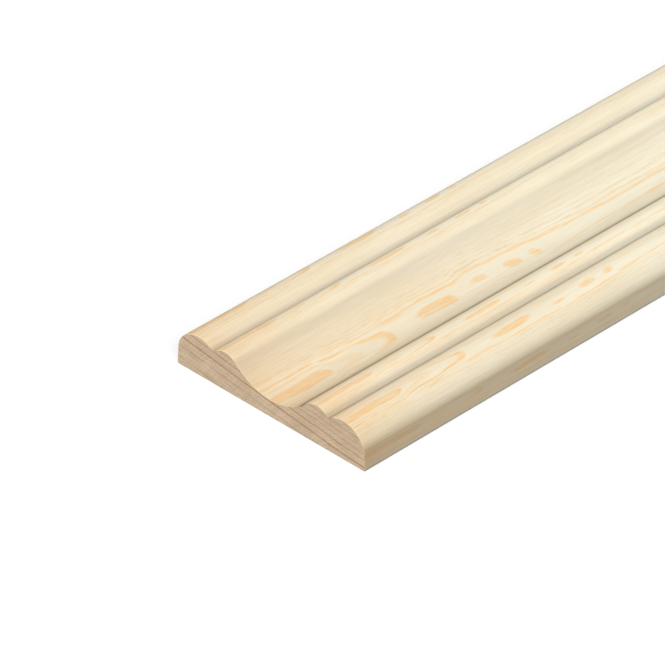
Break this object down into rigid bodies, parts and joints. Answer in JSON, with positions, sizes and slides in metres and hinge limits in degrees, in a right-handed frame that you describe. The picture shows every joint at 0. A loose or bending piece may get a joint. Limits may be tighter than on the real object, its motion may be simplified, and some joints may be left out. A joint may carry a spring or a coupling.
{
  "type": "cover moulding",
  "caption": "Long flat-backed pine cover moulding with a broad central hollow and paired beads parted by V quirks along both edges.",
  "frame": {"origin": "middle of the flat back: half way along the length and half way across the width", "axes": "+X across the face, +Y along the length, +Z out of the back towards the moulded face"},
  "size_m": [0.068, 2.1, 0.012],
  "materials": {
    "pine": "planed, unfinished"
  },
  "bodies": {
    "root": {"moulding": "pine"}
  },
  "joints": []
}
